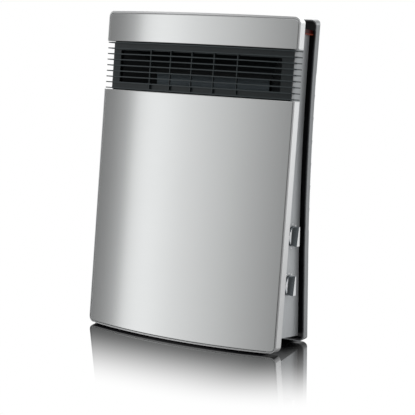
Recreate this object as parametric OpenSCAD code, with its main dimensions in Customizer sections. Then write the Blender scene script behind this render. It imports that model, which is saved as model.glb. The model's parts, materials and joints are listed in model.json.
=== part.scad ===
// Fan convector heater, upright and slim, leaning back on its front panel.
// Millimetres. Z up, front faces -Y, X to the right as seen from the front.
// "lean" coordinates are tilted back with the front panel: y is depth, z runs up the panel.

/* [Overall] */
// width of the front panels and the rear cover
width = 282; // [260:300]
// how far the middle of the front panel stands ahead of its side edges
bow = 17.5; // [12:24]
// backward lean of the front panel, degrees
lean_deg = 7.5; // [5:10]
// length of the front panel along the lean
panel_len = 403.2; // [380:410]
// front view corner radius
corner_r = 8; // [5:12]

/* [Front panels] */
// metal skin thickness
skin_t = 1.5; // [1:0.1:2]
// depth of the frame's side returns behind the front edge
frame_depth = 9.4; // [8:0.1:14]
// lean height where the lower panel ends
outlet_lo = 304.4; // [300:308]
// lean height where the upper panel starts
outlet_hi = 364.8; // [360:368]

/* [Outlet grille] */
// number of horizontal fins
fin_count = 9; // [7:11]
// fin thickness
fin_t = 1.3; // [1:0.1:2]
// spacing of the vertical ribs
rib_step = 32; // [28:36]

/* [Body] */
// body inset from the panel's side edges
body_inset = 8; // [6:10]
// body wall thickness
body_t = 2; // [1.5:0.1:3]
// radius of the body's rear vertical corners
body_r = 5; // [4:10]
// lean height of the body's underside
body_lo = 17.5; // [12:20]
// lean height of the top of the body shell
body_hi = 384.8; // [380:388]

/* [Rear cover] */
// depth of the rear face at the floor
rear_y = 79; // [75:85]
// radius of the rear cover's backward curve
rear_r = 2100; // [1800:2600]
// height where the curve starts
rear_z0 = 85; // [60:120]
// depth of the rear cover's rim
rim_depth = 11; // [8:14]
// rear cover wall
cover_t = 2.5; // [2:0.1:3]

/* [Controls] */
// knob radius
knob_r = 12; // [10:13]
// lean height of the selector knob
selector_z = 142; // [130:150]
// lean height of the thermostat knob
thermostat_z = 82; // [70:90]
// depth of both knobs behind the panel's side edge
knob_y = 31.8; // [30:0.1:36]

/* [Fan] */
// fan rotor radius
rotor_r = 17; // [15:18]
// half length of the rotor
rotor_hl = 80; // [70:82]
// lean depth of the fan axis
fan_y = 20.6; // [19:22]
// lean height of the fan axis
fan_z = 222; // [215:230]

/* [Hidden] */
hw = width / 2;
front_r = (hw * hw + bow * bow) / (2 * bow);
body_hw = hw - body_inset;
fin_step = (363.2 - 305.8) / (fin_count - 1);
front_y = -bow * cos(lean_deg) + tan(lean_deg) * (2.4 - bow * sin(lean_deg));
back_y = rear_y + rear_r - sqrt(rear_r * rear_r - (394.5 - rear_z0) * (394.5 - rear_z0));
mid_y = (front_y + back_y) / 2;
silver = [0.74, 0.75, 0.76];
dark = [0.25, 0.27, 0.29];
black = [0.05, 0.05, 0.06];
steel = [0.62, 0.64, 0.66];
$fn = 96;

// ---------- shared shapes ----------

module lean() { translate([0, -mid_y, 0]) rotate([-lean_deg, 0, 0]) children(); }

// everything behind the front arc, d behind the front surface, in plan
module behind_arc(d, half) {
  intersection() {
    translate([0, front_r - bow]) circle(front_r - d, $fn = 720);
    translate([-half, -bow - 5]) square([2 * half, bow + 105]);
  }
}

// strip that follows the front arc from d0 to d1 behind it
module arc_strip(d0, d1, half) {
  intersection() {
    difference() {
      translate([0, front_r - bow]) circle(front_r - d0, $fn = 720);
      translate([0, front_r - bow]) circle(front_r - d1, $fn = 720);
    }
    translate([-half, -bow - 5]) square([2 * half, bow + 45]);
  }
}

// front view rectangle with separate bottom and top corner radii
module corner_rect(half, z0, z1, rb, rt) {
  translate([-half, z0 + rb]) square([2 * half, z1 - z0 - rb - rt]);
  if (rb > 0) {
    translate([-half + rb, z0]) square([2 * half - 2 * rb, rb + 1]);
    for (s = [-1, 1]) translate([s * (half - rb), z0 + rb]) circle(rb);
  }
  if (rt > 0) {
    translate([-half + rt, z1 - rt - 1]) square([2 * half - 2 * rt, rt + 1]);
    for (s = [-1, 1]) translate([s * (half - rt), z1 - rt]) circle(rt);
  }
}

// front view shape pushed through the whole depth
module through_depth() { rotate([90, 0, 0]) linear_extrude(260, center = true) children(); }

// cylinder along the depth, from y0 to y1
module rod_y(x, z, y0, y1, r) { translate([x, y1, z]) rotate([90, 0, 0]) cylinder(r = r, h = y1 - y0); }

// cylinder along the width, from x0 to x1
module rod_x(y, z, x0, x1, r) { translate([x0, y, z]) rotate([0, 90, 0]) cylinder(r = r, h = x1 - x0); }

// side view shape (depth, height) pushed along the width from x0 to x1
module side_shape(x0, x1) { translate([x0, 0, 0]) rotate([90, 0, 90]) linear_extrude(x1 - x0) children(); }

// plan of a block measured forward from the rear face, rear corners rounded
module rear_plan(d0, d1, half, r) {
  translate([-half, d0 + r]) square([2 * half, d1 - d0 - r]);
  translate([-half + r, d0]) square([2 * half - 2 * r, r + 1]);
  for (s = [-1, 1]) translate([s * (half - r), d0 + r]) circle(r);
}

// block that follows the rear face, upright below and curving back above
module rear_block(d0, d1, half, r) {
  translate([0, rear_y - mid_y, -20]) mirror([0, 1, 0]) linear_extrude(20 + rear_z0) rear_plan(d0, d1, half, r);
  translate([0, rear_y - mid_y + rear_r, rear_z0]) rotate([90, 0, 0]) rotate([0, -90, 0])
    rotate_extrude(angle = 9.2, $fn = 1440) translate([rear_r, 0]) rotate([0, 0, -90]) rear_plan(d0, d1, half, r);
}

function rear_at(z) = rear_y - mid_y + (z > rear_z0 ? rear_r - sqrt(rear_r * rear_r - (z - rear_z0) * (z - rear_z0)) : 0);

// lower panel outline: rounded corners, bottom edge level with the floor
module lower_outline(i, z_floor, top) {
  intersection() {
    lean() union() {
      through_depth() corner_rect(hw - i, z_floor, top, corner_r - min(i, 2), 0);
      through_depth() translate([-hw + 12, -12]) square([2 * hw - 24, 60]);
    }
    translate([-200, -100, z_floor]) cube([400, 300, 500]);
  }
}

// ---------- front panels ----------

module lower_panel_skin() {
  color(silver) intersection() {
    lean() translate([0, 0, -5]) linear_extrude(outlet_lo + 5) arc_strip(0, skin_t, hw + 5);
    lower_outline(1.9, 3.9, outlet_lo - 0.6);
    lean() translate([-200, -100, -20]) cube([400, 200, outlet_lo + 20]);
  }
}

module lower_panel_frame() {
  color(silver) {
    difference() {
      intersection() {
        lean() translate([0, 0, -5]) linear_extrude(outlet_lo + 4.4) arc_strip(skin_t + 0.1, frame_depth + 1.6, hw + 5);
        lower_outline(0, 2, outlet_lo);
      }
      intersection() {
        lean() translate([0, 0, -5]) linear_extrude(outlet_lo + 3) arc_strip(skin_t + 1.9, frame_depth + 20, hw + 5);
        lower_outline(2, 4.5, outlet_lo - 2);
      }
      lean() translate([0, 0, body_lo - 1.5]) linear_extrude(400) behind_arc(7.9, body_hw + 0.6);
    }
    // rim round the sheet
    difference() {
      intersection() {
        lean() translate([0, 0, -5]) linear_extrude(outlet_lo + 4.4) arc_strip(0, skin_t + 0.4, hw + 5);
        lower_outline(0, 2, outlet_lo);
      }
      lower_outline(1.6, 3.6, outlet_lo + 10);
    }
    lean() for (x = [-100, 100], z = [70, 275])
      intersection() {
        rod_y(x, z, -20, 20, 5);
        translate([0, 0, z - 10]) linear_extrude(20) arc_strip(skin_t + 1, 8.2, hw);
      }
  }
}

module upper_panel_skin() {
  color(silver) lean() intersection() {
    translate([0, 0, outlet_hi]) linear_extrude(panel_len) arc_strip(0, skin_t, hw + 5);
    through_depth() corner_rect(hw - 1.9, outlet_hi, panel_len - 2.8, 0, corner_r - 2);
  }
}

module upper_panel_frame() {
  color(silver) lean() {
    difference() {
      intersection() {
        translate([0, 0, outlet_hi]) linear_extrude(60) arc_strip(skin_t + 0.1, frame_depth + 1.6, hw + 5);
        through_depth() corner_rect(hw, outlet_hi + 0.2, panel_len, 0, corner_r);
      }
      intersection() {
        translate([0, 0, outlet_hi]) linear_extrude(60) arc_strip(skin_t + 1.9, frame_depth + 20, hw + 5);
        through_depth() corner_rect(hw - 2, outlet_hi + 2.2, panel_len - 2, 0, corner_r - 2);
      }
      translate([0, 0, 350]) linear_extrude(body_hi + 6.3 - 350) behind_arc(7.9, 136.6);
    }
    // rim round the sheet
    difference() {
      intersection() {
        translate([0, 0, outlet_hi + 0.2]) linear_extrude(60) arc_strip(0, skin_t + 0.4, hw + 5);
        through_depth() corner_rect(hw, outlet_hi + 0.2, panel_len, 0, corner_r);
      }
      through_depth() corner_rect(hw - 1.6, outlet_hi - 10, panel_len - 2.5, 0, corner_r - 1.7);
    }
    for (x = [-95, 95])
      intersection() {
        rod_y(x, 376, -20, 20, 4);
        translate([0, 0, 366]) linear_extrude(20) arc_strip(skin_t + 1, 8.2, hw);
      }
  }
}

// ---------- outlet ----------

module outlet_grille() {
  color(dark) lean() {
    for (k = [0 : fin_count - 1]) translate([0, 0, 305.8 - fin_t / 2 + k * fin_step])
      linear_extrude(fin_t) {
        arc_strip(0.5, 5.7, hw - 1.3);
        for (s = [-1, 1]) translate([s * (hw - 4.6) - 3.3, 2]) square([6.6, 11.4]);
      }
    for (k = [-2 : 2]) translate([k * rib_step, 0, 305.2]) intersection() {
      translate([-0.65, -20, 0]) cube([1.3, 30, 51.3]);
      translate([-k * rib_step, 0, 0]) linear_extrude(60) arc_strip(3, 5.7, hw);
    }
  }
}

module outlet_bezel() {
  color(dark) lean() difference() {
    intersection() {
      translate([0, 0, outlet_lo + 0.4]) linear_extrude(outlet_hi - outlet_lo - 0.8) arc_strip(5.9, 7.8, body_hw - 0.3);
      through_depth() corner_rect(body_hw - 0.3, outlet_lo + 0.4, outlet_hi - 0.4, 0, 0);
    }
    through_depth() corner_rect(body_hw - 14, 314, 354, 1.5, 1.5);
  }
}

module front_chassis() {
  color(dark) lean() difference() {
    union() {
      translate([0, 0, body_lo + 2.4]) linear_extrude(body_hi - body_lo - 2.6) arc_strip(8.4, 10.4, body_hw - 2.4);
      for (s = [-1, 1]) translate([s * (body_hw - 3.6) - 1.1, 6.5, body_lo + 2.4]) cube([2.2, 9.5, body_hi - body_lo - 2.6]);
    }
    through_depth() corner_rect(118.5, 309.5, 359.5, 2, 2);
    for (x = [-118, 118], z = [40, 374]) rod_y(x, z, -20, 30, 1.7);
  }
}

// plan of the duct, narrow at the back and flared to the window
module duct_plan(grow, back) {
  polygon([[-84.2 - grow, back], [84.2 + grow, back], [84.2 + grow, 38], [118.5 + grow, 4.5], [118.5 + grow, -14],
    [-118.5 - grow, -14], [-118.5 - grow, 4.5], [-84.2 - grow, 38]]);
}

module outlet_duct() {
  color(black) lean() intersection() {
    union() {
      // curved roof and front lip
      intersection() {
        side_shape(-125, 125) {
          intersection() {
            difference() {
              translate([-4, 318]) circle(43);
              translate([-4, 318]) circle(41.5);
            }
            translate([-12, 318]) square([60, 50]);
          }
          translate([-12, 359.5]) square([8, 1.5]);
        }
        translate([0, 0, 300]) linear_extrude(70) duct_plan(2.1, 39);
      }
      // back wall
      side_shape(-84.2, 84.2) translate([37.5, 298.6]) square([1.5, 19.4]);
      // flared cheeks
      intersection() {
        translate([0, 0, 308]) linear_extrude(60) difference() {
          duct_plan(2.1, 39);
          duct_plan(0, 45);
        }
        side_shape(-125, 125) {
          intersection() {
            translate([-4, 318]) circle(43);
            translate([-12, 318]) square([60, 50]);
          }
          translate([-12, 308]) square([51, 10]);
          translate([-12, 318]) square([9, 43]);
        }
      }
      // sill under the flared part
      translate([0, 0, 308]) linear_extrude(1.5) difference() {
        duct_plan(2.1, 39);
        translate([-84.2, -20]) square([168.4, 70]);
      }
      // straight cheeks below the sill
      for (s = [-1, 1]) translate([s * 84.95 - 0.75, 0, 0]) side_shape(0, 1.5) translate([-12, 298.6]) square([51, 10.2]);
    }
    translate([0, 0, 290]) linear_extrude(80) behind_arc(10.7, 125);
  }
}

module air_deflector() {
  color(steel) lean() intersection() {
    side_shape(-83.8, 83.8) {
      translate([-14, 306.4]) square([22, 1.4]);
      translate([0, 298.4]) square([1.4, 9]);
    }
    translate([0, 0, 290]) linear_extrude(30) behind_arc(10.7, 120);
  }
}

module guide_vane() {
  color(steel) lean() side_shape(-83.8, 83.8) {
    translate([34.3, 300]) square([1.2, 18]);
    intersection() {
      difference() {
        translate([-4, 318]) circle(39.5);
        translate([-4, 318]) circle(38.3);
      }
      translate([20, 318]) square([30, 9.5]);
    }
  }
}

// ---------- body ----------

module body_shell() {
  color(silver) difference() {
    union() {
      difference() {
        intersection() {
          lean() translate([0, 0, body_lo]) linear_extrude(body_hi - body_lo) behind_arc(8, body_hw);
          rear_block(8, 110, body_hw, body_r);
        }
        intersection() {
          lean() translate([-body_hw + body_t, -60, body_lo + body_t]) cube([2 * (body_hw - body_t), 200, 420]);
          rear_block(8 + body_t, 160, body_hw - body_t, body_r - body_t);
        }
      }
      intersection() {
        lean() for (x = [-118, 118]) {
          rod_y(x, 40, 6.2, 80, 4.5);
          rod_y(x, 374, 6.2, 60, 4.5);
        }
        rear_block(8.5, 110, body_hw - 1, body_r - 1);
      }
      intersection() {
        for (x = [-104, 104], z = [62, 340]) rod_y(x, z, rear_at(z) - 18, rear_at(z), 4.2);
        rear_block(8.5, 110, body_hw - 1, body_r - 1);
      }
    }
    // fixing holes
    lean() for (x = [-118, 118], z = [40, 374]) rod_y(x, z, 0, 22, 1.5);
    for (x = [-104, 104], z = [62, 340]) rod_y(x, z, rear_at(z) - 17, rear_at(z), 1.5);
    // air intake behind the fan
    through_depth() for (k = [0 : 9]) translate([-80, 171 + k * 7]) square([160, 4]);
    // control shafts
    lean() for (z = [selector_z, thermostat_z]) rod_x(knob_y, z, 120, 140, 5.2);
    // cord inlet
    rod_y(-100, 34, 0, 60, 5.6);
  }
}

module pilot_light_cap() {
  color([0.3, 0.03, 0.04]) {
    intersection() {
      lean() translate([0, 0, body_hi + 0.1]) linear_extrude(5.6) behind_arc(8, 136);
      rear_block(5, 110, 136, 5);
    }
    intersection() {
      lean() translate([0, 0, body_hi - 2.4]) linear_extrude(2.6) difference() {
        behind_arc(11, body_hw - 12);
        behind_arc(13, body_hw - 14);
      }
      rear_block(14.5, 110, body_hw - 10, 4);
    }
  }
}

module pilot_lamp() {
  color([0.9, 0.45, 0.2]) lean() {
    rod_x(20, 374, -9, 9, 3);
    translate([-13, 15, 364]) cube([3.9, 10, 15]);
    translate([-13, -6.7, 364]) cube([3.9, 25, 3]);
  }
}

// ---------- rear ----------

module rear_cover() {
  color(silver) difference() {
    union() {
      difference() {
        intersection() {
          rear_block(0, rim_depth, hw, 3);
          through_depth() corner_rect(hw, 1.2, 394.5, corner_r, corner_r);
        }
        intersection() {
          rear_block(cover_t, 60, hw - 1.2, 1);
          through_depth() corner_rect(hw - 1.2, 2.4, 393.3, corner_r - 1.2, corner_r - 1.2);
        }
      }
      intersection() {
        for (x = [-104, 104], z = [62, 340]) rod_y(x, z, rear_at(z) - 30, rear_at(z), 6);
        rear_block(1, 7.8, hw - 2, 1);
      }
    }
    through_depth() corner_rect(92, 160, 290, 3, 3);
    for (x = [-104, 104], z = [62, 340]) {
      rod_y(x, z, rear_at(z) - 30, rear_at(z) + 5, 1.7);
      rod_y(x, z, rear_at(z) - 2, rear_at(z) + 10, 3.6);
    }
    rod_y(-100, 34, 0, 60, 5.6);
  }
}

module rear_liner() {
  color(black) difference() {
    intersection() {
      rear_block(cover_t + 0.2, 10.4, hw - 1.6, 1);
      through_depth() corner_rect(hw - 1.6, 2.8, 392.9, corner_r - 1.6, corner_r - 1.6);
    }
    intersection() {
      rear_block(cover_t + 1.4, 60, hw - 2.8, 0.8);
      through_depth() corner_rect(hw - 2.8, 4, 391.7, corner_r - 2.8, corner_r - 2.8);
    }
    through_depth() corner_rect(92, 160, 290, 3, 3);
    for (x = [-104, 104], z = [62, 340]) rod_y(x, z, 0, 80, 6.6);
    rod_y(-100, 34, 0, 60, 7.6);
  }
}

module intake_grille() {
  color(dark) intersection() {
    rear_block(0.3, 2.3, hw - 5, 1);
    through_depth() difference() {
      corner_rect(91.7, 160.3, 289.7, 3, 3);
      for (k = [0 : 17], s = [-1, 1]) translate([s * 44.5 - 41.5, 165 + k * 6.9]) square([83, 3.6]);
    }
  }
}

module dust_filter() {
  color([0.2, 0.21, 0.23]) intersection() {
    rear_block(4.6, 7.2, hw - 5, 1);
    through_depth() difference() {
      corner_rect(88, 164, 252, 3, 3);
      for (i = [-4 : 3], j = [0 : 3]) translate([i * 21.2 + 1.4, 168 + j * 20.4]) square([18.4, 18.4]);
    }
  }
}

module filter_guides() {
  color(black) intersection() {
    rear_block(4.6, 7.8, hw - 5, 1);
    through_depth() for (s = [-1, 1]) translate([s * 90.5 - 2, 160]) square([4, 100]);
  }
}

module front_feet() {
  color(black) for (x = [-95, 95]) translate([x, -2 - mid_y, 0]) cylinder(r = 5, h = 1.9);
}

module rear_feet() {
  color(black) for (x = [-112, 112]) translate([x, rear_at(0) - 5.7, 0]) cylinder(r = 5, h = 1.1);
}

// ---------- controls ----------

module grip_knob(z) {
  lean() translate([body_hw + 2, knob_y, z]) rotate([0, 90, 0]) difference() {
    cylinder(r = knob_r, h = 7.6);
    // scooped flanks leave a grip that narrows to a pointer
    for (s = [-1, 1]) rotate([0, 0, s * 5.2]) translate([0, s * 22.97, 45.7])
      rotate([0, 90, 0]) cylinder(r = 43.4, h = 60, center = true, $fn = 240);
    translate([0, 0, -1]) cylinder(r = 3.03, h = 4.1);
  }
}

module control_shaft(z) {
  lean() {
    rod_x(knob_y, z, body_hw - 13.4, body_hw + 4.4, 3);
    rod_x(knob_y, z, body_hw - 8.6, body_hw - 6.8, 4.5);
  }
}

module selector_knob() { color(steel) grip_knob(selector_z); }
module thermostat_knob() { color(steel) grip_knob(thermostat_z); }
module selector_shaft() { color(steel) control_shaft(selector_z); }
module thermostat_shaft() { color(steel) control_shaft(thermostat_z); }

module knob_rings() {
  color(dark) lean() for (z = [selector_z, thermostat_z]) difference() {
    rod_x(knob_y, z, body_hw + 0.1, body_hw + 1.7, knob_r + 0.2);
    rod_x(knob_y, z, body_hw - 1, body_hw + 3, 5.2);
  }
}

module selector_switch() {
  color([0.15, 0.15, 0.17]) lean() difference() {
    union() {
      translate([98, knob_y - 13, selector_z - 14]) cube([26, 26, 28]);
      for (s = [-1, 1]) translate([104, knob_y - 6, selector_z + s * 18 - 4]) cube([26.9, 6, 8]);
      for (i = [0 : 3]) translate([91, knob_y - 9 + i * 5.4, selector_z - 3]) cube([7, 0.8, 6.3]);
    }
    rod_x(knob_y, selector_z, 119, 130, 3.05);
  }
}

module thermostat_body() {
  color(steel) lean() difference() {
    union() {
      translate([104, knob_y - 10, thermostat_z - 15]) cube([20, 20, 30]);
      for (s = [-1, 1]) translate([108, knob_y + 3, thermostat_z + s * 18 - 3]) cube([22.9, 6, 6]);
      translate([96, knob_y - 4, thermostat_z - 20]) cube([8, 8, 40]);
    }
    rod_x(knob_y, thermostat_z, 119, 130, 3.05);
  }
}

// ---------- fan ----------

module fan_rotor() {
  color(dark) lean() difference() {
    union() {
      for (x = [-rotor_hl, -1, rotor_hl - 2]) rod_x(fan_y, fan_z, x, x + 2, rotor_r);
      for (x = [-rotor_hl - 3, rotor_hl]) rod_x(fan_y, fan_z, x, x + 3, 5);
      side_shape(-rotor_hl, rotor_hl) for (k = [0 : 23]) translate([fan_y, fan_z]) rotate(k * 15)
        translate([rotor_r - 3.4, 0]) rotate(38) translate([-2.6, -0.4]) square([5.6, 0.8]);
    }
    rod_x(fan_y, fan_z, -rotor_hl - 5, rotor_hl + 5, 2.53);
  }
}

module fan_shaft() { color(steel) lean() rod_x(fan_y, fan_z, -129, 94, 2.5); }

module motor_rotor() {
  color(steel) lean() difference() {
    rod_x(fan_y, fan_z, -121, -103, 9);
    rod_x(fan_y, fan_z, -122, -102, 2.53);
  }
}

module motor_stator() {
  color(steel) lean() difference() {
    side_shape(-122, -102) difference() {
      translate([7, 182]) square([28.6, 57]);
      translate([fan_y, fan_z]) circle(9.6);
      translate([12, 190]) square([17.2, 14]);
    }
    for (s = [-1, 1]) rod_x(fan_y + s * 10.6, fan_z + 13.4, -123, -101, 1.5);
  }
}

module motor_coil() {
  color([0.7, 0.4, 0.2]) lean() side_shape(-125, -99) difference() {
    translate([12.3, 176]) square([16.6, 18]);
    translate([12.1, 181.8]) square([17, 8.4]);
  }
  color([0.7, 0.4, 0.2]) lean() for (x = [-125, -101.8]) side_shape(x, x + 2.8)
    translate([12.3, 178]) square([16.6, 14]);
}

module motor_brackets() {
  color(steel) lean() {
    for (x = [-126.4, -99.8]) difference() {
      translate([x, fan_y - 13, fan_z - 8]) cube([2.2, 27, 26]);
      rod_x(fan_y, fan_z, x - 1, x + 4, 5.1);
      for (s = [-1, 1]) rod_x(fan_y + s * 10.6, fan_z + 13.4, x - 1, x + 4, 1.5);
    }
    for (s = [-1, 1]) rod_x(fan_y + s * 10.6, fan_z + 13.4, -126.4, -86.2, 1.45);
  }
}

module shaft_bearings() {
  color([0.6, 0.5, 0.3]) lean() for (x = [-127.4, -100.8, 86.5]) difference() {
    rod_x(fan_y, fan_z, x, x + 4.2, 5);
    rod_x(fan_y, fan_z, x - 1, x + 6, 2.55);
  }
}

module fan_end_plates() {
  color(steel) lean() for (s = [-1, 1]) difference() {
    union() {
      translate([s * 85 - 1, fan_y - 20, fan_z - 22]) cube([2, 38, 98.2]);
      if (s > 0) rod_x(fan_y, fan_z, 84, 90.4, 8);
    }
    rod_x(fan_y, fan_z, s > 0 ? 86.4 : -90, s > 0 ? 95 : -80, s > 0 ? 5.05 : 7);
    rod_x(fan_y, fan_z, 80, 95, 3.2);
  }
}

module fan_scroll() {
  color(dark) lean() side_shape(-83.8, 83.8) {
    intersection() {
      difference() {
        translate([fan_y, fan_z]) circle(20.6);
        translate([fan_y, fan_z]) circle(19.2);
      }
      translate([-1, fan_z - 21]) square([fan_y + 1, 21]);
    }
    translate([0, fan_z]) square([1.4, 76.2]);
    translate([37.5, fan_z + 13]) square([1.3, 63.2]);
  }
}

// ---------- heater ----------

module heater_frame() {
  color([0.85, 0.83, 0.78]) lean() difference() {
    translate([-83.6, 1.7, 262]) cube([167.2, 35.5, 22]);
    translate([-81.6, 3.7, 261]) cube([163.2, 31.5, 24]);
  }
}

module ptc_bars() {
  color(steel) lean() for (y = [11.4, 22.9]) translate([-81.4, y, 264]) cube([162.8, 4.6, 18]);
}

module heater_fins() {
  color([0.8, 0.8, 0.82]) lean() for (b = [[3.9, 7.3], [16.2, 6.5], [27.7, 7.3]])
    translate([-81, b[0], 264]) linear_extrude(18) {
      square([162, 0.5]);
      translate([0, b[1] - 0.5]) square([162, 0.5]);
      for (k = [0 : 45]) translate([k * 3.59, 0]) square([0.45, b[1]]);
    }
}

module thermal_cutout() {
  color(steel) lean() {
    rod_x(24, 292, 86.2, 90, 8);
    rod_x(24, 292, 90, 96, 6);
    for (s = [-1, 1]) translate([96, 23.6 + s * 3.5, 289]) cube([6, 0.8, 6]);
  }
}

module thermal_fuse() {
  color([0.8, 0.75, 0.6]) lean() rod_x(20, 291, -58, -44, 2);
  color(steel) lean() rod_x(20, 291, -80, -22, 0.5);
}

// ---------- safety and supply ----------

module tilt_switch_housing() {
  color([0.9, 0.9, 0.88]) lean() difference() {
    translate([-9, 31, body_lo + body_t + 0.1]) cube([18, 31, 34]);
    translate([-7.5, 32.5, body_lo + body_t + 1.6]) cube([15, 28, 31]);
    rod_x(45, 48, -8.6, 8.6, 1);
  }
}

module tilt_pivot_pin() { color(steel) lean() rod_x(45, 48, -8.5, 8.5, 0.97); }

// hangs straight down from the pivot
module tilt_pendulum() {
  color(steel) lean() translate([0, 45, 48]) rotate([lean_deg, 0, 0]) difference() {
    union() {
      translate([-3, 0, 0]) rotate([0, 90, 0]) cylinder(r = 2.4, h = 6);
      translate([-1, -1.2, -13]) cube([2, 2.4, 12]);
      translate([-5, 0, -16]) rotate([0, 90, 0]) cylinder(r = 4, h = 10);
    }
    translate([-6, 0, 0]) rotate([0, 90, 0]) cylinder(r = 1.04, h = 12);
  }
}

module terminal_block() {
  color([0.92, 0.92, 0.9]) difference() {
    translate([-72, rear_at(0) - 29, 28]) cube([36, 18.7, 16]);
    for (k = [0 : 2]) {
      rod_y(-66 + k * 12, 40, rear_at(0) - 30, rear_at(0) - 21, 2.6);
      translate([-66 + k * 12, rear_at(0) - 22, 27]) cylinder(r = 1.8, h = 10);
    }
  }
}

module cord_gland() {
  color(black) difference() {
    union() {
      rod_y(-100, 34, rear_at(0) + 0.1, rear_at(0) + 3, 8);
      rod_y(-100, 34, rear_at(0) - 13, rear_at(0) + 0.2, 5.5);
      rod_y(-100, 34, rear_at(0) - 14.5, rear_at(0) - 10.2, 7.4);
    }
    rod_y(-100, 34, 0, 60, 3.6);
  }
}

// one round lead through a list of points
function unit(v) = v / norm(v);
function heading(p, i) = unit(i == 0 ? p[1] - p[0] : i == len(p) - 1 ? p[i] - p[i - 1]
  : unit(p[i] - p[i - 1]) + unit(p[i + 1] - p[i]));
module lead(p, r, sides = 10) {
  n = len(p);
  polyhedron(
    points = [for (i = [0 : n - 1]) let (h = heading(p, i), u = unit(cross(h, [0.2, 0.95, 0.1])), v = cross(h, u))
      for (k = [0 : sides - 1]) p[i] + r * (cos(k * 360 / sides) * u + sin(k * 360 / sides) * v)],
    faces = concat(
      [[for (k = [0 : sides - 1]) sides - 1 - k]],
      [for (i = [0 : n - 2], k = [0 : sides - 1]) let (m = (k + 1) % sides)
        [i * sides + k, i * sides + m, (i + 1) * sides + m, (i + 1) * sides + k]],
      [[for (k = [0 : sides - 1]) (n - 1) * sides + k]]));
}

module internal_wiring() {
  color([0.5, 0.3, 0.2]) translate([0, -mid_y, 0]) {
    lead([[-66, 56, 45.2], [-66, 54, 56], [-62, 51, 61], [-54, 50, 62], [54, 50, 62], [64, 51, 65],
      [84, 56, 99], [87, 57.6, 108], [88, 58, 114], [88, 58, 132]], 1.3);
    lead([[-54, 56, 45.2], [-53, 55, 54], [-48, 54, 58], [64, 54, 58], [74, 52, 59], [94, 45.5, 62]], 1.3);
    lead([[88, 52, 150], [89, 48, 164], [90, 46, 172], [94, 50, 200], [104, 58, 240], [106, 61, 254],
      [106, 62, 284]], 1.3);
    lead([[-42, 56, 45.2], [-43, 50, 51], [-48, 45, 55], [-88, 42, 68], [-92, 42, 74], [-94, 44, 160]], 1.3);
    lead([[4, 50, 49], [6, 48, 51], [18, 44.6, 63], [24, 44, 66], [80, 44, 70], [88, 44, 74], [92, 44, 84]], 1.1);
  }
}

// ---------- fasteners ----------

module chassis_screws() {
  color(steel) lean() for (x = [-118, 118], z = [40, 374]) {
    rod_y(x, z, 0, 2.2, 3);
    rod_y(x, z, 2.2, 20, 1.45);
  }
}

module cover_screws() {
  color(steel) for (x = [-104, 104], z = [62, 340]) {
    rod_y(x, z, rear_at(z) - 2, rear_at(z) - 0.3, 3.2);
    rod_y(x, z, rear_at(z) - 16.5, rear_at(z) - 2, 1.45);
  }
}

lower_panel_skin();
lower_panel_frame();
upper_panel_skin();
upper_panel_frame();
outlet_grille();
outlet_bezel();
outlet_duct();
air_deflector();
guide_vane();
front_chassis();
body_shell();
pilot_light_cap();
pilot_lamp();
rear_cover();
rear_liner();
intake_grille();
dust_filter();
filter_guides();
front_feet();
rear_feet();
selector_knob();
selector_shaft();
selector_switch();
thermostat_knob();
thermostat_shaft();
thermostat_body();
knob_rings();
fan_rotor();
fan_shaft();
motor_rotor();
motor_stator();
motor_coil();
motor_brackets();
shaft_bearings();
fan_end_plates();
fan_scroll();
heater_frame();
ptc_bars();
heater_fins();
thermal_cutout();
thermal_fuse();
tilt_switch_housing();
tilt_pendulum();
tilt_pivot_pin();
terminal_block();
cord_gland();
internal_wiring();
chassis_screws();
cover_screws();
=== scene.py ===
"""Looks for the fan convector heater: finishes, rolled sheet edges, knobs, glossy floor, light and camera."""

import json
import math

import bmesh
import bpy
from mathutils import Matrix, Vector


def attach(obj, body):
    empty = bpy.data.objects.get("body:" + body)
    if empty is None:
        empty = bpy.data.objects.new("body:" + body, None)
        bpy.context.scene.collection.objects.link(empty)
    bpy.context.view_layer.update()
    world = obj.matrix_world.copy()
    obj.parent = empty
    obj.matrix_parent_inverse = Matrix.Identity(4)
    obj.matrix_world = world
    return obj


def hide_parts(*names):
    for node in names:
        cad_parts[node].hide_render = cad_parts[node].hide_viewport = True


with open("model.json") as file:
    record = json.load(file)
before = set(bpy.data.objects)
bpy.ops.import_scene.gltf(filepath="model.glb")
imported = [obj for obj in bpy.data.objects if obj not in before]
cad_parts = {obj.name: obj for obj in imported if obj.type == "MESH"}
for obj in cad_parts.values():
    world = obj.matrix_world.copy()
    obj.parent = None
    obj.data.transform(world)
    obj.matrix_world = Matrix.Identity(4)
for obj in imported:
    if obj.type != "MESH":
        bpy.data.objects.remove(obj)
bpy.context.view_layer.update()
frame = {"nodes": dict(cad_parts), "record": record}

bl_info = {
    "name": "Fan convector heater finish",
    "version": (1, 0, 0),
    "blender": (4, 5, 0),
    "location": "3D View > Sidebar > Heater",
    "description": "Builds the visible sheet metal, plastics, knobs and studio of the fan convector heater",
    "category": "Object",
}

# The front panels, fins and casing share a frame that leans back and bows forward. All in millimetres.
LEAN = math.radians(7.5)
DEPTH_SHIFT = 42.2985
BOW_RADIUS = 576.8
BOW = 17.5
HALF_WIDTH = 141.0

# The two front sheets: thickness, what a rolled edge leaves of it, and the outline inside their frames.
# Heights run along the lean, except the lower sheet's foot, which is a height above the floor.
SKIN = 1.5
SKIN_LEFT = 0.1
SHEET_INSET = 1.9
SHEET_HALF = HALF_WIDTH - SHEET_INSET
LOW_CORNER = 6.1
HIGH_CORNER = 6.0
LOWER_SHEET_FOOT = 3.9
LOWER_SHEET_TOP = 303.8
UPPER_SHEET_FOOT = 364.8
UPPER_SHEET_TOP = 400.4

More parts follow.
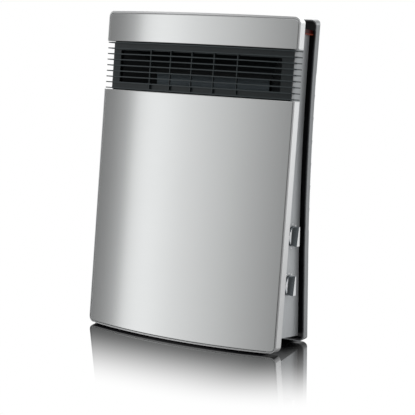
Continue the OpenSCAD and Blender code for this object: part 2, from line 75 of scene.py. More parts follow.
# Spacing of the sheets' points: close together beside an edge, then even.
NEAR_EDGE = [0.0, 0.04, 0.13, 0.28, 0.48, 0.72, 1.0, 1.35, 1.75, 2.2, 2.7, 3.3, 4.1, 5.2, 6.4, 7.4, 9.0]
COLUMN_STEP = 7.0
ROW_STEP = 12.0
SHORT_SHEET = 60.0
SHORT_SHEET_ROWS = 8

# The casing's right wall, and the knobs and dots on it.
WALL = 133.0
KNOB_DEPTH = 31.8
SELECTOR_HEIGHT = 142.0
THERMOSTAT_HEIGHT = 82.0
DOT_RING = 14.6

# A knob: its seat above the wall, its levels above the seat, and how far its groove and rim dip.
KNOB_SEAT = 2.0
KNOB_TALL = 7.6
KNOB_LIP = 1.6
GROOVE_DIP = 0.6
RIM_DIP = 0.12

# Across a knob, from the middle of its grip. Up the grip, its half width shrinks by the taper.
KNOB_RADIUS = 12.0
GRIP_HALF = 2.15
GRIP_TAPER = 0.091
GRIP_EDGE = 0.3
GROOVE_EDGE = 7.2
SHOULDER = 7.7
LIP_MIDDLE = 9.5

# The curved flank from the grip down to the groove: where its points lie, and how hollow it is.
FLANK_SHARES = [0.02, 0.06, 0.12, 0.2, 0.3, 0.42, 0.56, 0.72, 0.88, 1.0]
FLANK_HOLLOW = 2.3

# Fine metal flakes in the silver finishes: how many to the metre, and how much lighter they are.
FLAKE_SCALE = 5200.0
FLAKE_LIGHT = 1.5

# The lamp cap's lit edge starts this far from the middle of its width and is full here, in metres.
LIT_FROM, LIT_FULL = 0.1, 0.136

# Pieces whose finish differs a little from the rest of their record slot.
SPECIAL = {"body_shell": "wall_silver", "rear_liner": "tray_plastic", "guide_vane": "vane_steel"}

# The floor, in metres: a rectangle under the heater, how far the plate spreads past it, and how low it lies.
FLOOR_CORE = (0.13, 0.05)
FLOOR_SPREAD = 0.34
FLOOR_DROP = 0.0002

# The heater's bowed front on the floor, in metres: its foremost line, its bow and its half width.
FRONT_LINE = 0.0596
FRONT_BOW = 0.0168
FRONT_HALF = 0.139

# The mirror patch on the floor is turned by this sine and cosine, to the right of the heater's front.
PATCH_SINE = 0.552
PATCH_COSINE = 0.834

# Where the camera stands, in metres.
CAMERA_PLACE = (0.984, -1.4623, 0.484)

# Brightness of the surroundings by compass turn, in degrees from the front: level with the heater,
# higher up, and in a glowing band round the back.
LEVEL_RING = [
    (-180, 1.0), (-136, 1.0), (-132, 0.15), (-95, 0.2), (-88, 0.85), (-74, 0.85), (-70, 0.3), (-66, 0.2),
    (-62, 0.26), (-58, 0.36), (-55, 0.47), (-53.6, 0.56), (-51.8, 0.86), (-47, 0.99), (-43, 0.98), (-38, 0.9),
    (-34, 0.82), (-29, 0.75), (-25, 0.69), (-20, 0.62), (-16, 0.55), (-11, 0.47), (-6, 0.4), (-3, 0.34),
    (10, 0.3), (30, 0.15), (90, 0.12), (112, 0.14), (128, 0.6), (140, 0.93), (146, 0.93), (179, 1.0),
]
RAISED_RING = [(-180, 1.0), (-120, 1.0), (-95, 0.3), (90, 0.3), (120, 0.6), (165, 0.7), (179, 1.0)]
BACK_GLOW = [(-180, 1.44), (-120, 1.44), (-100, 0.0), (115, 0.0), (130, 1.44), (180, 1.44)]


def leaned(x, y, z):
    """A point of the leaning frame, in millimetres, as a point of the shared frame, in metres."""
    c, s = math.cos(LEAN), math.sin(LEAN)
    return Vector((x, c * y + s * z - DEPTH_SHIFT, c * z - s * y)) / 1000


def bowed(x, depth):
    """How far back the bowed front is at this width, at a depth behind its face."""
    return BOW_RADIUS - BOW - math.sqrt((BOW_RADIUS - depth) ** 2 - x * x)


# ---------- shader helpers ----------


class Wire:
    """One shader socket, with arithmetic that adds Math nodes."""

    def __init__(self, paint, socket):
        self.paint, self.socket = paint, socket

    def _math(self, operation, first, second=0.0):
        return self.paint.node("ShaderNodeMath", {"operation": operation}, {0: first, 1: second})

    def __add__(self, other):
        return self._math("ADD", self, other)

    __radd__ = __add__

    def __sub__(self, other):
        return self._math("SUBTRACT", self, other)

    def __rsub__(self, other):
        return self._math("SUBTRACT", other, self)

    def __mul__(self, other):
        return self._math("MULTIPLY", self, other)

    __rmul__ = __mul__

    def __truediv__(self, other):
        return self._math("DIVIDE", self, other)

    def __pow__(self, other):
        return self._math("POWER", self, other)

    def size(self):
        return self._math("ABSOLUTE", self)

    def above(self, other):
        """The larger of the two."""
        return self._math("MAXIMUM", self, other)

    def turn_from(self, other):
        """The angle whose sine and cosine go as this wire and the other."""
        return self._math("ARCTAN2", self, other)

    def arcsine(self):
        return self._math("ARCSINE", self)

    def eased(self, low, high):
        """0 at low, 1 at high, smooth between."""
        return self.paint.node("ShaderNodeMapRange", {"interpolation_type": "SMOOTHSTEP"},
                               {0: self, 1: low, 2: high, 3: 0.0, 4: 1.0})

    def scaled(self, low, high):
        """Takes 0 to 1 onto low to high."""
        return self * (high - low) + low


class Paint:
    """A node tree that is filled by calling node()."""

    def __init__(self, tree):
        self.tree = tree
        tree.nodes.clear()

    def node(self, kind, settings=None, inputs=None, output=0):
        made = self.tree.nodes.new(kind)
        for key, value in (settings or {}).items():
            if key == "stops":
                self.fill_ramp(made.color_ramp, value)
            else:
                setattr(made, key, value)
        for key, value in (inputs or {}).items():
            socket = made.inputs[key]
            if isinstance(value, Wire):
                self.tree.links.new(value.socket, socket)
            else:
                socket.default_value = value
        return Wire(self, made.outputs[output])

    def fill_ramp(self, ramp, stops):
        while len(ramp.elements) > 1:
            ramp.elements.remove(ramp.elements[-1])
        for i, (place, colour) in enumerate(stops):
            stop = ramp.elements[0] if i == 0 else ramp.elements.new(place)
            stop.position, stop.color = place, colour

    def place(self):
        return self.node("ShaderNodeTexCoord", output="Object")

    def axes(self, where):
        """The x, y and z of a position."""
        return [self.node("ShaderNodeSeparateXYZ", {}, {0: where}, output=axis) for axis in range(3)]

    def noise(self, where, scale, detail, rough):
        return self.node("ShaderNodeTexNoise", {},
                         {"Vector": where, "Scale": scale, "Detail": detail, "Roughness": rough})

    def stretched(self, where, factors):
        return self.node("ShaderNodeVectorMath", {"operation": "MULTIPLY"}, {0: where, 1: factors})

    def blend(self, share, first, second):
        """Mixes two colours."""
        return self.node("ShaderNodeMix", {"data_type": "RGBA"}, {0: share, 6: first, 7: second}, output=2)

    def cover(self, share, first, second):
        """Mixes two shaders."""
        return self.node("ShaderNodeMixShader", {}, {0: share, 1: first, 2: second})

    def bump(self, height, strength, distance):
        return self.node("ShaderNodeBump", {}, {"Height": height, "Strength": strength, "Distance": distance})

    def surface(self, wire, kind="ShaderNodeOutputMaterial"):
        end = self.tree.nodes.new(kind)
        self.tree.links.new(wire.socket, end.inputs["Surface"])


def shade(colour, factor):
    return tuple(min(1.0, c * factor) for c in colour[:3]) + (1.0,)


def finish(name, colour, metal=0.0, rough=(0.4, 0.5), spread=0.08, mottle=90.0, grain=None, brushed=None,
           flake=0.0, specular=0.5, glow=None, painted_shade_low=None, lit_edge=None):
    """A moulded, painted or metal finish: colour that varies a little, uneven gloss, fine surface grain.

    A painted shade setting darkens the colour from its high height down to its low one. lit_edge lights a
    piece's lower edge, by height along the lean, near both of its ends.
    """
    material = bpy.data.materials.new(name)
    material.use_nodes = True
    paint = Paint(material.node_tree)
    where = paint.place()
    cloud = paint.noise(where, mottle, 4.0, 0.55)
    base = paint.blend(cloud, shade(colour, 1 - spread), shade(colour, 1 + spread))
    gloss = cloud
    if brushed:
        lines = paint.noise(paint.stretched(where, brushed), 1.0, 3.0, 0.6)
        base = paint.blend(lines * 0.5, base, shade(colour, 1 - 2 * spread))
        gloss = lines
    if flake:
        cells = paint.node("ShaderNodeTexVoronoi", {}, {"Vector": where, "Scale": FLAKE_SCALE}, output="Color")
        level = paint.node("ShaderNodeRGBToBW", {}, {0: cells})
        base = paint.blend(level * flake, base, shade(colour, FLAKE_LIGHT))
    x, y, z = paint.axes(where)
    # Painted shade: the colour darkens toward the bottom.
    if painted_shade_low:
        low, high, factor = painted_shade_low
        base = paint.blend(z.eased(low, high), shade(colour, factor), base)
    inputs = {
        "Base Color": base,
        "Metallic": metal,
        "Roughness": gloss.scaled(*rough),
        "Specular IOR Level": specular,
    }
    if grain:
        scale, strength, depth = grain
        inputs["Normal"] = paint.bump(paint.noise(where, scale, 3.0, 0.6), strength, depth)
    if glow:
        inputs["Emission Color"], inputs["Emission Strength"] = glow
    if lit_edge:
        low, high, light = lit_edge
        height = z * math.cos(LEAN) + (y + DEPTH_SHIFT / 1000) * math.sin(LEAN)
        share = (1.0 - height.eased(low, high)) * x.size().eased(LIT_FROM, LIT_FULL)
        inputs["Emission Color"] = paint.blend(share, (0.0, 0.0, 0.0, 1.0), light)
        inputs["Emission Strength"] = 1.0
    paint.surface(paint.node("ShaderNodeBsdfPrincipled", {}, inputs))
    return material


_finishes = {}


def finishes():
    """Every finish by name, made once. The main colours come from the panel."""
    if _finishes:
        return _finishes
    c = bpy.context.scene.heater_colours
    looks = {
        "satin_aluminium": dict(
            colour=c.front_metal, metal=1.0, rough=(0.11, 0.17), spread=0.02, mottle=14.0,
            brushed=(30.0, 30.0, 1400.0), grain=(2600.0, 0.05, 0.0001)),
        # The frames' silver has painted shade, darker toward the floor.
        "frame_silver": dict(
            colour=c.frame_silver, metal=0.85, rough=(0.3, 0.38), spread=0.02, flake=0.1,
            grain=(3000.0, 0.04, 0.0001), painted_shade_low=(0.04, 0.26, 0.74)),
        "casing_silver": dict(
            colour=c.casing_silver, metal=0.75, rough=(0.26, 0.34), spread=0.03, flake=0.15,
            grain=(2400.0, 0.04, 0.0001)),
        "wall_silver": dict(
            colour=c.wall_silver, metal=0.4, rough=(0.36, 0.44), spread=0.02, flake=0.12,
            grain=(2400.0, 0.03, 0.0001)),
        "graphite_plastic": dict(
            colour=c.grille, rough=(0.36, 0.5), spread=0.12, grain=(1900.0, 0.12, 0.0001)),
        "black_plastic": dict(
            colour=(0.009, 0.012, 0.014), rough=(0.42, 0.58), spread=0.15, grain=(1600.0, 0.2, 0.0001)),
        "vane_steel": dict(
            colour=(0.1, 0.125, 0.14), metal=0.6, rough=(0.3, 0.42), spread=0.06,
            brushed=(60.0, 900.0, 900.0)),
        "tray_plastic": dict(
            colour=(0.012, 0.012, 0.015), rough=(0.3, 0.42), spread=0.12, grain=(1700.0, 0.1, 0.0001)),
        "bright_steel": dict(
            colour=(0.66, 0.66, 0.65), metal=1.0, rough=(0.2, 0.34), spread=0.05,
            brushed=(60.0, 1600.0, 1600.0)),
        "plated_steel": dict(
            colour=(0.55, 0.55, 0.53), metal=1.0, rough=(0.28, 0.44), spread=0.1, mottle=160.0),
        "smoked_red": dict(
            colour=c.lamp_cap, rough=(0.28, 0.36), spread=0.1, specular=0.15, grain=(500.0, 0.04, 0.0002),
            lit_edge=(0.385, 0.3866, (0.11, 0.02, 0.01, 1.0))),
        "amber_lamp": dict(colour=(0.85, 0.28, 0.04), rough=(0.1, 0.2), glow=((1.0, 0.3, 0.04, 1), 0.3)),
        "filter_mesh": dict(
            colour=(0.05, 0.05, 0.055), rough=(0.6, 0.8), spread=0.3, mottle=900.0,
            grain=(1400.0, 0.6, 0.0004)),
        "rubber": dict(
            colour=(0.018, 0.018, 0.018), rough=(0.65, 0.85), spread=0.2, grain=(1200.0, 0.3, 0.0002)),
        "knob_silver": dict(colour=c.knob, metal=0.9, rough=(0.16, 0.24), spread=0.03, mottle=200.0),
        # The knobs' flanks take painted shade, a dark copy of their silver; their lips take a painted
        # highlight, near white and glowing.
        "knob_painted_shade": dict(colour=(0.25, 0.28, 0.3), metal=1.0, rough=(0.22, 0.3), spread=0.04, mottle=260.0),
        "knob_painted_highlight": dict(
            colour=(0.9, 0.91, 0.92), metal=0.15, rough=(0.25, 0.32), spread=0.02, mottle=260.0,
            glow=((0.95, 0.97, 1.0, 1), 0.14)),
        # The dots are white print with a painted glow that brightens it.
        "white_print_with_glow": dict(
            colour=(0.93, 0.93, 0.93), rough=(0.3, 0.4), spread=0.02, mottle=800.0,
            glow=((1.0, 1.0, 1.0, 1), 0.15)),
        "switch_plastic": dict(colour=(0.62, 0.6, 0.55), rough=(0.4, 0.5), grain=(1500.0, 0.15, 0.0001)),
        "rotor_plastic": dict(colour=(0.05, 0.05, 0.052), rough=(0.38, 0.5), grain=(1500.0, 0.15, 0.0001)),
        "core_steel": dict(
            colour=(0.3, 0.31, 0.32), metal=1.0, rough=(0.35, 0.5), spread=0.15, brushed=(2600.0, 8.0, 8.0)),
        "copper_winding": dict(
            colour=(0.55, 0.22, 0.09), metal=0.9, rough=(0.25, 0.4), spread=0.15,
            brushed=(3800.0, 20.0, 20.0)),
        "sintered_bronze": dict(
            colour=(0.42, 0.27, 0.12), metal=0.9, rough=(0.4, 0.6), spread=0.2, mottle=1800.0),
        "heater_plastic": dict(colour=(0.7, 0.68, 0.62), rough=(0.45, 0.6), grain=(1400.0, 0.2, 0.0001)),
        "bare_aluminium": dict(colour=(0.78, 0.78, 0.78), metal=1.0, rough=(0.22, 0.36), spread=0.06),
        "fuse_ceramic": dict(colour=(0.82, 0.8, 0.76), rough=(0.5, 0.65), spread=0.04, mottle=700.0),
        "wire_sleeve": dict(colour=(0.5, 0.03, 0.02), rough=(0.5, 0.65), grain=(2500.0, 0.25, 0.0001)),
    }
    for name, look in looks.items():
        _finishes[name] = finish(name, **look)
    return _finishes


# ---------- mesh helpers ----------


def slot_of(node):
    for entry in frame["record"]["subparts"]:
        if node == entry["node"]:
            return entry["material_slot"]
    raise RuntimeError(f"{node} has no material slot")


def body_of(node):
    for body, members in frame["record"]["behaviour"]["bodies"].items():
        if node in members:
            return body
    raise RuntimeError(f"{node} is in no body")


def dress(obj, name):
    """Gives an object a finish in place of any it had."""
    obj.data.materials.clear()
    obj.data.materials.append(finishes()[name])


def smooth(mesh, angle):
    """Smooth shading that keeps edges sharper than the angle, in degrees."""
    mesh.shade_smooth()
    mesh.set_sharp_from_angle(angle=math.radians(angle))


def flat_faced(mesh, angle):
    """Corner normals led by the largest face there, so broad faces stay flat beside their rounded edges."""
    limit = math.cos(math.radians(angle))
    round_vertex = [[] for _ in mesh.vertices]
    for face in mesh.polygons:
        normal = face.normal.copy()
        for vertex in face.vertices:
            round_vertex[vertex].append((normal, face.area))
    corners = []
    for face in mesh.polygons:
        for vertex in face.vertices:
            total = Vector((0.0, 0.0, 0.0))
            for normal, area in round_vertex[vertex]:
                if normal.dot(face.normal) > limit:
                    total += normal * area
            corners.append(total.normalized() if total.length > 0 else face.normal.copy())
    mesh.normals_split_custom_set(corners)


def meshed(name, shape):
    """Turns a finished bmesh into a mesh."""
    mesh = bpy.data.meshes.new(name)
    shape.to_mesh(mesh)
    shape.free()
    return mesh


def placed(name, mesh):
    """Puts a mesh in the scene."""
    obj = bpy.data.objects.new(name, mesh)
    bpy.context.scene.collection.objects.link(obj)
    return obj


def stand_in(name, mesh, node):
    """A new piece that replaces a CAD node and rides where it does."""
    obj = placed(name, mesh)
    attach(obj, body_of(node))
    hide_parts(node)
    slot_of(node)
    dress(obj, SPECIAL.get(node) or slot_of(node))
    return obj


def softened(node, width):
    """A copy of a CAD node with its crisp edges rounded to a moulded radius, in millimetres."""
    weld, flat_angle, crisp_angle, smooth_angle = 2e-6, math.radians(0.5), math.radians(40.0), 50.0
    shape = bmesh.new()
    shape.from_mesh(frame["nodes"][node].data)
    bmesh.ops.remove_doubles(shape, verts=shape.verts, dist=weld)
    bmesh.ops.dissolve_limit(shape, angle_limit=flat_angle, verts=shape.verts, edges=shape.edges)
    crisp = [edge for edge in shape.edges
             if len(edge.link_faces) == 2 and edge.calc_face_angle(0.0) > crisp_angle]
    if crisp:
        bmesh.ops.bevel(shape, geom=crisp, offset=width / 1000, offset_type="OFFSET", segments=2,
                        profile=0.5, affect="EDGES", clamp_overlap=True)
    mesh = meshed(node + "_moulded", shape)
    smooth(mesh, smooth_angle)
    flat_faced(mesh, smooth_angle)
    return stand_in(node + "_moulded", mesh, node)


def edge_steps(length, coarse):
    """Distances from one end to the other, close together near both ends."""
    near = [s for s in NEAR_EDGE if s < length / 2]
    middle = max(2, int(round((length - 2 * near[-1]) / coarse)))
    span = (length - 2 * near[-1]) / middle
    inner = [near[-1] + span * i for i in range(1, middle)]
    return near + inner + [length - s for s in reversed(near)]


def rounded_end(x, corner):
    """How much a corner radius shortens a front sheet's outline at this width."""
    over = abs(x) - (SHEET_HALF - corner)
    if over <= 0:
        return 0.0
    return corner - math.sqrt(max(corner * corner - over * over, 0.0))


def roll_depth(roll, to_side, to_low, to_high, low_corner, high_corner):
    """How far a rolled edge falls back at a point, by the point's distances from the sheet's edges.

    The fall stops a little short of the sheet's back face.
    """
    inward = min(to_side, to_low, to_high)
    for corner, to_end in ((low_corner, to_low), (high_corner, to_high)):
        if to_side < corner and to_end < corner:
            inward = corner - math.hypot(corner - to_side, corner - to_end)
    share = min(max(inward, 0.0) / roll, 1.0)
    return (SKIN - SKIN_LEFT) * (1 - math.sqrt(max(0.0, 1 - (1 - share) ** 2)))


def sheet_rim(grid):
    """The points round a grid's border, in order."""
    return [c[0] for c in grid] + grid[-1][1:] + [c[-1] for c in grid[-2::-1]] + grid[0][-2:0:-1]


def bowed_skin(name, node, low, high, roll, low_corner=0.0, high_corner=0.0):
    """A bowed metal sheet with rolled edges. low and high give the outline's ends at each width."""
    columns = [s - SHEET_HALF for s in edge_steps(2 * SHEET_HALF, COLUMN_STEP)]

    def steps_at(x):
        length = high(x) - low(x)
        return edge_steps(length, length / SHORT_SHEET_ROWS if length < SHORT_SHEET else ROW_STEP)

    def rolled(x, z):
        to_low = z - low(min(abs(x), SHEET_HALF - low_corner))
        return roll_depth(roll, SHEET_HALF - abs(x), to_low, high(0) - z, low_corner, high_corner)

    count = len(steps_at(columns[0]))
    sheet = bmesh.new()

    def points(depth_at):
        grid = []
        for x in columns:
            steps = steps_at(x)
            heights = [low(x) + steps[min(i, len(steps) - 1)] for i in range(count)]
            grid.append([sheet.verts.new(leaned(x, bowed(x, depth_at(x, z)), z)) for z in heights])
        return grid

    front, back = points(rolled), points(lambda x, z: SKIN)
    for grid, way in ((front, 1), (back, -1)):
        for a, b in zip(grid, grid[1:]):
            for i in range(count - 1):
                sheet.faces.new((a[i], b[i], b[i + 1], a[i + 1])[::way])
    outer, inner = sheet_rim(front), sheet_rim(back)
    for i in range(len(outer)):
        j = (i + 1) % len(outer)
        sheet.faces.new((outer[j], outer[i], inner[i], inner[j]))
    bmesh.ops.recalc_face_normals(sheet, faces=sheet.faces)
    mesh = meshed(name, sheet)
    smooth(mesh, 35.0)
    return stand_in(name, mesh, node)


def grip_half(z):
    """Half the width of a knob's grip, which narrows toward its pointer."""
    return GRIP_HALF - z * GRIP_TAPER


def knob_level(y, z):
    """How high a knob stands above its seat: grip, curved flank, groove, shoulder and lip."""
    over, half = abs(y), grip_half(z)
    if over <= half:
        return KNOB_TALL
    if over >= SHOULDER:
        return KNOB_LIP
    if over >= GROOVE_EDGE:
        return KNOB_LIP - GROOVE_DIP * (SHOULDER - over) / (SHOULDER - GROOVE_EDGE)
    share = (over - half) / (GROOVE_EDGE - half)
    return KNOB_LIP - GROOVE_DIP + (KNOB_TALL - KNOB_LIP + GROOVE_DIP) * (1 - share) ** FLANK_HOLLOW


def knob_line(z, edge):
    """Where the points of one row across a knob lie, kept inside its round edge."""
    half = grip_half(z)
    flank = [half + (GROOVE_EDGE - half) * share for share in FLANK_SHARES]
    right = [0.0, half - GRIP_EDGE, half] + flank + [SHOULDER, LIP_MIDDLE, KNOB_RADIUS]
    line = [-v for v in reversed(right[1:])] + right
    return [max(-edge, min(edge, v)) for v in line]


# ---------- settings ----------


def length_setting(name, description, default, low, high):
    return bpy.props.FloatProperty(name=name, description=description, default=default, min=low, max=high,
                                   unit="LENGTH", subtype="DISTANCE")


def colour_setting(name, description, colour):
    return bpy.props.FloatVectorProperty(name=name, description=description, size=4, default=colour + (1,),
                                         min=0, max=1, subtype="COLOR")


def angle_setting(name, description, degrees):
    return bpy.props.FloatProperty(name=name, description=description, default=math.radians(degrees),
                                   subtype="ANGLE", unit="ROTATION")


class HeaterSizes(bpy.types.PropertyGroup):
    rolled_edge: length_setting("Rolled edge", "Roll of the front sheets' edges", 0.0009, 0.0005, 0.003)
    moulded_edge: length_setting("Moulded edge", "Edge radius of the moulded plastics", 0.0004, 0.0001, 0.001)


class HeaterColours(bpy.types.PropertyGroup):
    front_metal: colour_setting("Front sheets", "Satin metal of the two front sheets", (0.81, 0.825, 0.825))
    frame_silver: colour_setting("Front frames", "Silver of the frames round the sheets", (0.85, 0.86, 0.865))
    casing_silver: colour_setting("Rear cover", "Silver of the rear cover", (0.25, 0.26, 0.268))
    wall_silver: colour_setting("Casing wall", "Silver of the main casing's walls", (0.53, 0.55, 0.565))
    grille: colour_setting("Grilles", "Graphite of the outlet and intake grilles", (0.052, 0.067, 0.072))
    knob: colour_setting("Knobs", "Silver of the two knobs", (0.72, 0.73, 0.74))
    lamp_cap: colour_setting("Lamp cap", "Smoked red of the cap over the pilot lamp", (0.06, 0.006, 0.006))


class HeaterStudio(bpy.types.PropertyGroup):
    camera_turn: angle_setting("Camera turn", "How far the camera stands round to the right", 33.51)
    camera_drop: angle_setting("Camera drop", "How far the camera looks down", 10.43)
    lens: bpy.props.FloatProperty(name="Lens", description="Focal length in millimetres on a 36 mm sensor",
                                  default=124.22, min=20, max=400)
    white: bpy.props.FloatProperty(name="Backdrop white", description="Brightness of the backdrop",
                                   default=1.0, min=0, max=4)


# ---------- operators ----------


class HEATER_OT_front_sheets(bpy.types.Operator):
    """Builds the two bowed satin front sheets with rolled edges"""

    bl_idname = "heater.front_sheets"
    bl_label = "Front sheets"

    def execute(self, context):
        roll = context.scene.heater_sizes.rolled_edge * 1000

        def floor_cut(x):
            """The height along the lean where a level cut meets the bowed front."""
            back = bowed(min(abs(x), SHEET_HALF - LOW_CORNER), 0.0)
            level = (LOWER_SHEET_FOOT + math.sin(LEAN) * back) / math.cos(LEAN)
            return level + rounded_end(x, LOW_CORNER)

        bowed_skin("lower_front_sheet", "lower_panel_skin", floor_cut, lambda x: LOWER_SHEET_TOP, roll,
                   low_corner=LOW_CORNER)
        bowed_skin("upper_front_sheet", "upper_panel_skin", lambda x: UPPER_SHEET_FOOT,
                   lambda x: UPPER_SHEET_TOP - rounded_end(x, HIGH_CORNER), roll, high_corner=HIGH_CORNER)
        return {"FINISHED"}


class HEATER_OT_casing(bpy.types.Operator):
    """Rounds and finishes the frames, casing, rear cover and lamp cap"""

    bl_idname = "heater.casing"
    bl_label = "Casing"

    def execute(self, context):
        width = context.scene.heater_sizes.moulded_edge * 1000
        # The lower frame's underside takes painted shade.
        self.painted_underside_shade(softened("lower_panel_frame", width))
        softened("upper_panel_frame", width)
        for node in ("body_shell", "rear_cover", "pilot_light_cap"):
            softened(node, width * 1.5)
        return {"FINISHED"}

    def painted_underside_shade(self, piece):
        """Painted shade: the black plastic finish on the downward faces that stand just above the floor, where
        the underside lies in shade.
        """
        shaded_height, facing_down = 0.008, -0.7
        piece.data.materials.append(finishes()["black_plastic"])
        for face in piece.data.polygons:
            if face.normal.z < facing_down and face.center.z < shaded_height:
                face.material_index = 1


class HEATER_OT_outlet(bpy.types.Operator):
    """Rounds and finishes the outlet fins and the window frame behind them"""

    bl_idname = "heater.outlet"
    bl_label = "Outlet"

    def execute(self, context):
        width = context.scene.heater_sizes.moulded_edge * 1000
        softened("outlet_grille", width * 0.8)
        softened("outlet_bezel", width)
        return {"FINISHED"}


class HEATER_OT_controls(bpy.types.Operator):
    """Builds the two knobs and the dots round them, and rounds the rings they sit in"""

    bl_idname = "heater.controls"
    bl_label = "Controls"

    def execute(self, context):
        softened("knob_rings", context.scene.heater_sizes.moulded_edge * 1000 * 0.8)
        self.knob("selector_knob", SELECTOR_HEIGHT)
        self.knob("thermostat_knob", THERMOSTAT_HEIGHT)
        self.dots("selector_dots", SELECTOR_HEIGHT, (-60, -30, 0, 30, 60, 180))
        self.dots("thermostat_dots", THERMOSTAT_HEIGHT, (-75, -50, -25, 0, 25, 50, 75))
        return {"FINISHED"}

    def knob(self, node, centre):
        """A disc with two straight grooves, each between a low lip and a grip that narrows to a pointer."""
        shape = bmesh.new()
        rows, weld, least_edge = 48, 2e-5, 1e-5
        top, low = [], []
        for k in range(rows + 1):
            z = -KNOB_RADIUS * math.cos(math.pi * k / rows)
            edge = math.sqrt(max(KNOB_RADIUS * KNOB_RADIUS - z * z, 0.0))
            top_row, low_row = [], []
            for y in knob_line(z, edge):
                out = WALL + KNOB_SEAT + knob_level(y, z) - (RIM_DIP if abs(y) >= edge else 0.0)
                top_row.append((out, KNOB_DEPTH + y, centre + z))
                low_row.append((WALL + KNOB_SEAT, KNOB_DEPTH + y, centre + z))
            top.append([shape.verts.new(leaned(*point)) for point in top_row])
            low.append([shape.verts.new(leaned(*point)) for point in low_row])
        for grid in (top, low):
            for a, b in zip(grid, grid[1:]):
                for k in range(len(a) - 1):
                    shape.faces.new((a[k], a[k + 1], b[k + 1], b[k]))
        for k in range(rows):
            for side in (0, -1):
                shape.faces.new((top[k][side], top[k + 1][side], low[k + 1][side], low[k][side]))
        for row in (0, -1):
            for k in range(len(top[row]) - 1):
                shape.faces.new((top[row][k], top[row][k + 1], low[row][k + 1], low[row][k]))
        bmesh.ops.remove_doubles(shape, verts=shape.verts, dist=weld)
        bmesh.ops.dissolve_degenerate(shape, edges=shape.edges, dist=least_edge)
        bmesh.ops.recalc_face_normals(shape, faces=shape.faces)
        mesh = meshed(node + "_grooved", shape)
        smooth(mesh, 30.0)
        stand_in(node + "_grooved", mesh, node)
        self.painted_light_and_shade(mesh)

    def painted_light_and_shade(self, mesh):
        """Painted shade on a knob's flanks and rim, as a dark copy of its silver, and a painted highlight on
        its lips that glows. Its end face stays silver.
        """
        for name in ("knob_painted_shade", "knob_painted_highlight"):
            mesh.materials.append(finishes()[name])
        shade_index, highlight_index = 1, 2
        facing_out = 0.99
        lip_face = (WALL + KNOB_SEAT + KNOB_LIP + 0.1) / 1000
        for face in mesh.polygons:
            if face.normal.x < facing_out:
                face.material_index = shade_index
            elif face.center.x < lip_face:
                face.material_index = highlight_index

    def dots(self, name, centre, angles):
        """Small raised dots on the casing wall, round a knob. Angles are in degrees from the top."""
        sides = 12
        profile = ((WALL - 0.1, 1.0), (WALL + 0.1, 1.0), (WALL + 0.2, 0.8))
        plate = bmesh.new()
        for angle in angles:
            turn = math.radians(angle)
            y, z = KNOB_DEPTH + DOT_RING * math.sin(turn), centre + DOT_RING * math.cos(turn)
            rings = []
            for x, radius in profile:
                turns = [2 * math.pi * k / sides for k in range(sides)]
                rings.append([plate.verts.new(leaned(x, y + radius * math.cos(t), z + radius * math.sin(t)))
                              for t in turns])
            for low, high in zip(rings, rings[1:]):
                for k in range(sides):
                    after = (k + 1) % sides
                    plate.faces.new((low[k], low[after], high[after], high[k]))
            plate.faces.new(rings[-1])
            plate.faces.new(rings[0][::-1])
        obj = placed(name, meshed(name, plate))
        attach(obj, "housing")
        # White print with a painted glow.
        dress(obj, "white_print_with_glow")


class HEATER_OT_fitted_parts(bpy.types.Operator):
    """Gives every CAD part that still shows the finish of its slot"""

    bl_idname = "heater.fitted_parts"
    bl_label = "Fitted parts"

    def execute(self, context):
        for name, node in frame["nodes"].items():
            if not node.hide_render:
                dress(node, SPECIAL.get(name) or slot_of(name))
        return {"FINISHED"}


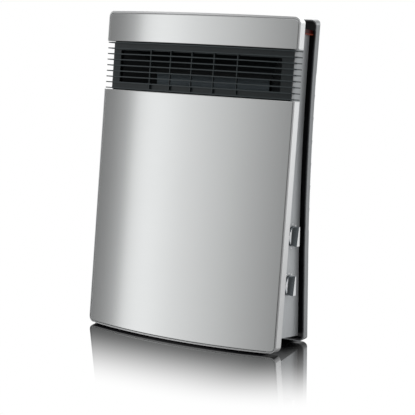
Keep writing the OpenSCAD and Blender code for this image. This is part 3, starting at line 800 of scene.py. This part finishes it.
class HEATER_OT_studio(bpy.types.Operator):
    """Builds the glossy floor, the surrounding light and the camera"""

    bl_idname = "heater.studio"
    bl_label = "Studio"

    def execute(self, context):
        studio = context.scene.heater_studio
        self.floor(studio)
        self.light(context, studio)
        self.camera(context, studio)
        context.scene.view_settings.view_transform = "Standard"
        return {"FINISHED"}

    def floor(self, studio):
        plate = bmesh.new()
        wide, deep = FLOOR_CORE
        corner_steps = 12
        outline = []
        for cx, cy, start in ((wide, deep, 0), (-wide, deep, 90), (-wide, -deep, 180), (wide, -deep, 270)):
            for i in range(corner_steps + 1):
                turn = math.radians(start + 90 * i / corner_steps)
                corner = (cx + FLOOR_SPREAD * math.cos(turn), cy + FLOOR_SPREAD * math.sin(turn), -FLOOR_DROP)
                outline.append(plate.verts.new(corner))
        plate.faces.new(outline)
        floor = placed("studio_floor", meshed("studio_floor", plate))
        floor.data.materials.append(self.floor_finish(studio))
        floor.visible_glossy = False

    def floor_finish(self, studio):
        """White, with a mirror patch that fades away from the heater, and a painted contact shadow, black,
        where the heater stands.
        """
        material = bpy.data.materials.new("glossy_white_floor")
        material.use_nodes = True
        paint = Paint(material.node_tree)
        x, y, _ = paint.axes(paint.place())
        wide, deep = FLOOR_CORE
        over_x = (x.size() - wide).above(0.0)
        over_y = (y.size() - deep).above(0.0)
        away = (over_x * over_x + over_y * over_y) ** 0.5
        toward = x * PATCH_SINE - y * PATCH_COSINE
        across = x * PATCH_COSINE + y * PATCH_SINE
        patch = toward.eased(-0.09, -0.04) * (1.0 - (across - 0.004).size().eased(0.15, 0.2))
        gloss = (1.0 - away.eased(0.0, 0.2)) * patch
        behind_front = y + FRONT_LINE - (x / FRONT_HALF) * (x / FRONT_HALF) * FRONT_BOW
        inside = (1.0 - y.eased(0.036, 0.046)) * (1.0 - x.size().eased(0.124, 0.134))
        # Painted contact shadow: black on the floor under the heater, reaching a little in front of its bowed
        # front.
        under = behind_front.eased(-0.0065, -0.0045) * inside
        white = paint.node("ShaderNodeEmission", {}, {"Color": (1, 1, 1, 1), "Strength": studio.white})
        mirror = paint.node("ShaderNodeBsdfGlossy", {}, {"Color": (0.41, 0.41, 0.41, 1), "Roughness": 0.0})
        painted_contact_shadow = paint.node("ShaderNodeBsdfDiffuse", {}, {"Color": (0.01, 0.01, 0.012, 1)})
        paint.surface(paint.cover(gloss, white, paint.cover(under, mirror, painted_contact_shadow)))
        return material

    def light(self, context, studio):
        """Light all round the object, set by compass turn from the front and by height, in degrees."""
        world = bpy.data.worlds.new("studio_light")
        world.use_nodes = True
        context.scene.world = world
        paint = Paint(world.node_tree)
        x, y, z = paint.axes(paint.node("ShaderNodeTexCoord", output="Generated"))
        turn = x.turn_from(y * -1.0) / (2 * math.pi) + 0.5
        height = z.arcsine() * (180 / math.pi)

        def ring(levels):
            stops = [(angle / 360 + 0.5, (v, v, v, 1)) for angle, v in levels]
            return paint.node("ShaderNodeValToRGB", {"stops": stops}, {0: turn})

        raised = height.size().eased(11.0, 20.0)
        overhead = height.eased(33.0, 38.0)
        straight_up = height.eased(50.0, 80.0)
        underfoot = (height * -1.0).eased(22.0, 35.0)
        glow_band = height.eased(9.0, 12.0) * (1.0 - height.eased(21.0, 24.0))
        glow = paint.node("ShaderNodeRGBToBW", {}, {0: ring(BACK_GLOW)}) * glow_band
        mixed = paint.blend(raised, ring(LEVEL_RING), ring(RAISED_RING))
        mixed = paint.blend(overhead, mixed, (0.72, 0.72, 0.72, 1.0))
        mixed = paint.blend(straight_up, mixed, (0.8, 0.8, 0.8, 1.0))
        mixed = paint.node("ShaderNodeVectorMath", {"operation": "ADD"}, {0: mixed, 1: glow})
        mixed = paint.blend(underfoot, mixed, (0.2, 0.2, 0.2, 1.0))
        seen = paint.node("ShaderNodeLightPath", output="Is Camera Ray")
        colour = paint.blend(seen, mixed, (studio.white, studio.white, studio.white, 1.0))
        paint.surface(paint.node("ShaderNodeBackground", {}, {"Color": colour, "Strength": 1.0}),
                      "ShaderNodeOutputWorld")

    def camera(self, context, studio):
        camera = bpy.data.cameras.new("camera")
        camera.lens = studio.lens
        camera.sensor_width = 36.0
        camera.clip_start, camera.clip_end = 0.01, 50.0
        holder = placed("camera", camera)
        holder.location = CAMERA_PLACE
        holder.rotation_euler = (math.pi / 2 - studio.camera_drop, 0.0, studio.camera_turn)
        context.scene.camera = holder


class HEATER_PT_sidebar(bpy.types.Panel):
    bl_idname = "HEATER_PT_sidebar"
    bl_label = "Fan convector heater"
    bl_space_type = "VIEW_3D"
    bl_region_type = "UI"
    bl_category = "Heater"

    def draw(self, context):
        for step in STEPS:
            self.layout.operator(step.bl_idname)
        for name in GROUPS:
            box = self.layout.box()
            group = getattr(context.scene, name)
            for setting in group.__annotations__:
                box.prop(group, setting)


GROUPS = {"heater_sizes": HeaterSizes, "heater_colours": HeaterColours, "heater_studio": HeaterStudio}
STEPS = (HEATER_OT_front_sheets, HEATER_OT_casing, HEATER_OT_outlet, HEATER_OT_controls,
         HEATER_OT_fitted_parts, HEATER_OT_studio)


def register():
    for name, group in GROUPS.items():
        bpy.utils.register_class(group)
        setattr(bpy.types.Scene, name, bpy.props.PointerProperty(type=group))
    for step in STEPS:
        bpy.utils.register_class(step)
    bpy.utils.register_class(HEATER_PT_sidebar)


def unregister():
    bpy.utils.unregister_class(HEATER_PT_sidebar)
    for step in reversed(STEPS):
        bpy.utils.unregister_class(step)
    for name, group in GROUPS.items():
        delattr(bpy.types.Scene, name)
        bpy.utils.unregister_class(group)


def main():
    register()
    bpy.ops.heater.front_sheets()
    bpy.ops.heater.casing()
    bpy.ops.heater.outlet()
    bpy.ops.heater.controls()
    bpy.ops.heater.fitted_parts()
    bpy.ops.heater.studio()


if __name__ == "__main__":
    main()
